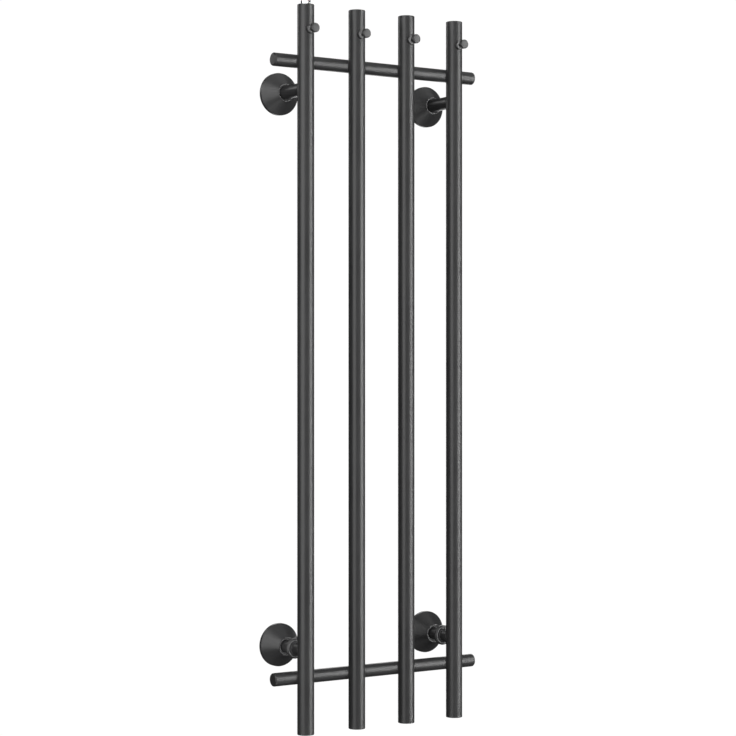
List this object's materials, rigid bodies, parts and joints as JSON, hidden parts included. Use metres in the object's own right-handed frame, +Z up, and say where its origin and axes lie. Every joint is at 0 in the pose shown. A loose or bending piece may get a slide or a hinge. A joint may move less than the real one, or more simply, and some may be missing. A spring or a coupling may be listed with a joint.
{
  "type": "towel warmer rack",
  "caption": "Wall-hung water-heated towel rack: upright pipes on two crossbars, pegs near the top, conical rosettes over telescopic brackets and union connections.",
  "frame": {"origin": "on the wall plane, midway between the two upper brackets, at the height of their screws", "axes": "+X to the right along the wall, +Y into the wall, +Z up; the front of the rack faces -Y"},
  "size_m": [0.404, 0.1404, 1.2106],
  "materials": {
    "frame_black": "satin black powder coat",
    "peg_black": "satin black powder coat",
    "rosette_black": "satin black powder coat",
    "fitting_black": "satin black coating on brass",
    "rubber_black": "matte",
    "slip_plastic": "matte",
    "zinc_steel": "zinc plated",
    "insert_steel": "plain turned steel",
    "vent_chrome": "polished"
  },
  "bodies": {
    "rack": {"upright_1": "frame_black", "upright_2": "frame_black", "upright_3": "frame_black", "upright_4": "frame_black", "top_cap_1": "frame_black", "top_cap_2": "frame_black", "top_cap_3": "frame_black", "top_cap_4": "frame_black", "bottom_cap_1": "frame_black", "bottom_cap_2": "frame_black", "bottom_cap_3": "frame_black", "bottom_cap_4": "frame_black", "crossbar_upper": "frame_black", "crossbar_lower": "frame_black", "crossbar_cap_upper_left": "frame_black", "crossbar_cap_upper_right": "frame_black", "crossbar_cap_lower_left": "frame_black", "crossbar_cap_lower_right": "frame_black", "peg_1": "peg_black", "peg_2": "peg_black", "peg_3": "peg_black", "peg_4": "peg_black", "peg_collars": "peg_black", "peg_inserts": "insert_steel", "bracket_arm_left": "frame_black", "bracket_arm_right": "frame_black", "grub_screw_left": "zinc_steel", "grub_screw_right": "zinc_steel", "nozzle_left": "frame_black", "nozzle_right": "frame_black", "gasket_left": "rubber_black", "gasket_right": "rubber_black", "tail_left": "fitting_black", "tail_right": "fitting_black", "vent_body": "vent_chrome", "vent_seal": "rubber_black"},
    "wall_post_left": {"wall_post_left": "zinc_steel"},
    "wall_post_right": {"wall_post_right": "zinc_steel"},
    "rosette_upper_left": {"rosette_upper_left": "rosette_black", "grip_ring_upper_left": "rubber_black"},
    "rosette_upper_right": {"rosette_upper_right": "rosette_black", "grip_ring_upper_right": "rubber_black"},
    "rosette_lower_left": {"rosette_lower_left": "rosette_black", "grip_ring_lower_left": "rubber_black"},
    "rosette_lower_right": {"rosette_lower_right": "rosette_black", "grip_ring_lower_right": "rubber_black"},
    "slip_ring_left": {"slip_ring_left": "slip_plastic"},
    "slip_ring_right": {"slip_ring_right": "slip_plastic"},
    "union_nut_left": {"union_nut_left": "fitting_black"},
    "union_nut_right": {"union_nut_right": "fitting_black"},
    "bleed_screw": {"bleed_screw": "vent_chrome", "bleed_oring": "rubber_black"}
  },
  "joints": [
    {"name": "bracket_depth_left", "type": "slide", "parent": "rack", "child": "wall_post_left", "axis": [0, 1, 0], "range_m": [-0.006, 0.01]},
    {"name": "bracket_depth_right", "type": "slide", "parent": "rack", "child": "wall_post_right", "axis": [0, 1, 0], "range_m": [-0.006, 0.01]},
    {"name": "rosette_upper_left_slide", "type": "slide", "parent": "rack", "child": "rosette_upper_left", "axis": [0, -1, 0], "range_m": [0, 0.047]},
    {"name": "rosette_upper_right_slide", "type": "slide", "parent": "rack", "child": "rosette_upper_right", "axis": [0, -1, 0], "range_m": [0, 0.047]},
    {"name": "rosette_lower_left_slide", "type": "slide", "parent": "rack", "child": "rosette_lower_left", "axis": [0, -1, 0], "range_m": [0, 0.011]},
    {"name": "rosette_lower_right_slide", "type": "slide", "parent": "rack", "child": "rosette_lower_right", "axis": [0, -1, 0], "range_m": [0, 0.011]},
    {"name": "nut_travel_left", "type": "slide", "parent": "rack", "child": "slip_ring_left", "axis": [0, 1, 0], "range_m": [0, 0.0044]},
    {"name": "nut_turn_left", "type": "hinge", "parent": "slip_ring_left", "child": "union_nut_left", "pos_m": [-0.15, -0.055, -0.925], "axis": [0, 1, 0], "range_deg": [0, 864]},
    {"name": "nut_travel_right", "type": "slide", "parent": "rack", "child": "slip_ring_right", "axis": [0, 1, 0], "range_m": [0, 0.0044]},
    {"name": "nut_turn_right", "type": "hinge", "parent": "slip_ring_right", "child": "union_nut_right", "pos_m": [0.15, -0.055, -0.925], "axis": [0, 1, 0], "range_deg": [0, 864]},
    {"name": "bleed_turn", "type": "hinge", "parent": "rack", "child": "bleed_screw", "pos_m": [-0.15, -0.09, 0.1475], "axis": [0, 0, 1], "range_deg": [0, 180]}
  ],
  "couplings": [
    {"joint": "nut_travel_left", "follows": "nut_turn_left", "m_per_rad": 0.00028871},
    {"joint": "nut_travel_right", "follows": "nut_turn_right", "m_per_rad": 0.00028871}
  ]
}
